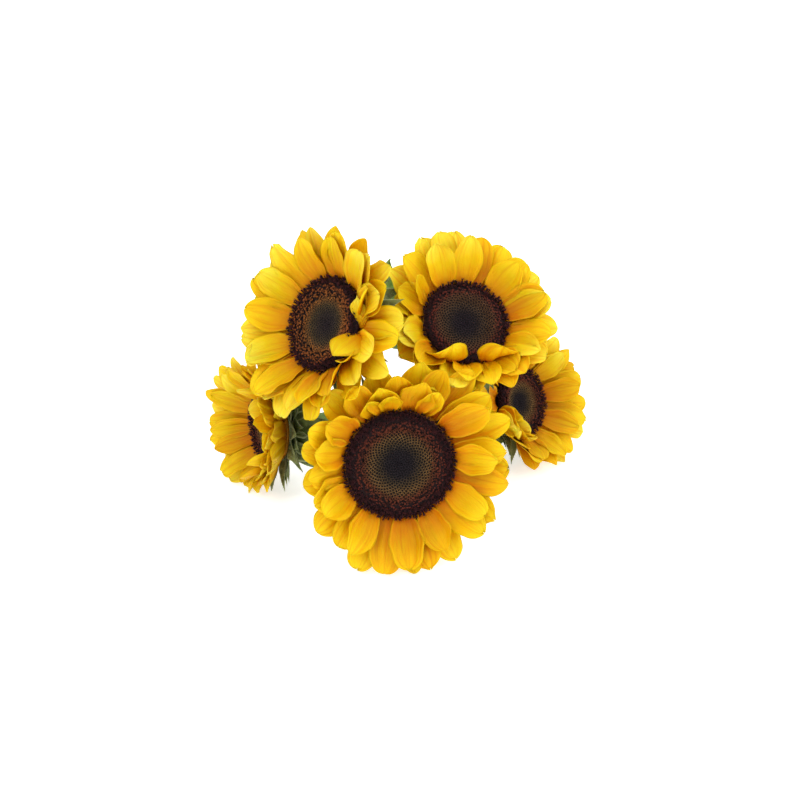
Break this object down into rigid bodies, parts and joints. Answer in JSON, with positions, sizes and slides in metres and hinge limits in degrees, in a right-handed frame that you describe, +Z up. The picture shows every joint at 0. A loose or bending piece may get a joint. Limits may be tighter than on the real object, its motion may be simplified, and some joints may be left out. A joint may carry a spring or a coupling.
{
  "type": "cut branching sunflower stem",
  "caption": "Branching sunflower stem, cut and lying down, with a cluster of open yellow flower heads with dark discs.",
  "frame": {"origin": "centre of the bottom of the bounding box, on the surface that the cut stem lies on", "axes": "+Z up; +Y from the flower heads toward the cut end of the stem, so the heads look to -Y; +X to the right of a viewer who looks along +Y"},
  "size_m": [0.2625, 0.3524, 0.1891],
  "materials": {
    "petal": "satin",
    "floret": "matte",
    "calyx": "matte",
    "leaf": "satin",
    "stem": "satin"
  },
  "bodies": {
    "root": {"main_stem": "stem", "front_petals": "petal", "front_disc": "floret", "front_calyx": "calyx", "front_stalk": "stem", "upper_left_petals": "petal", "upper_left_disc": "floret", "upper_left_calyx": "calyx", "upper_left_stalk": "stem", "upper_right_petals": "petal", "upper_right_disc": "floret", "upper_right_calyx": "calyx", "upper_right_stalk": "stem", "far_left_petals": "petal", "far_left_disc": "floret", "far_left_calyx": "calyx", "far_left_stalk": "stem", "far_right_petals": "petal", "far_right_disc": "floret", "far_right_calyx": "calyx", "far_right_stalk": "stem", "leaf_left": "leaf", "leaf_right": "leaf", "leaf_upright": "leaf", "leaf_front": "leaf"}
  },
  "joints": []
}
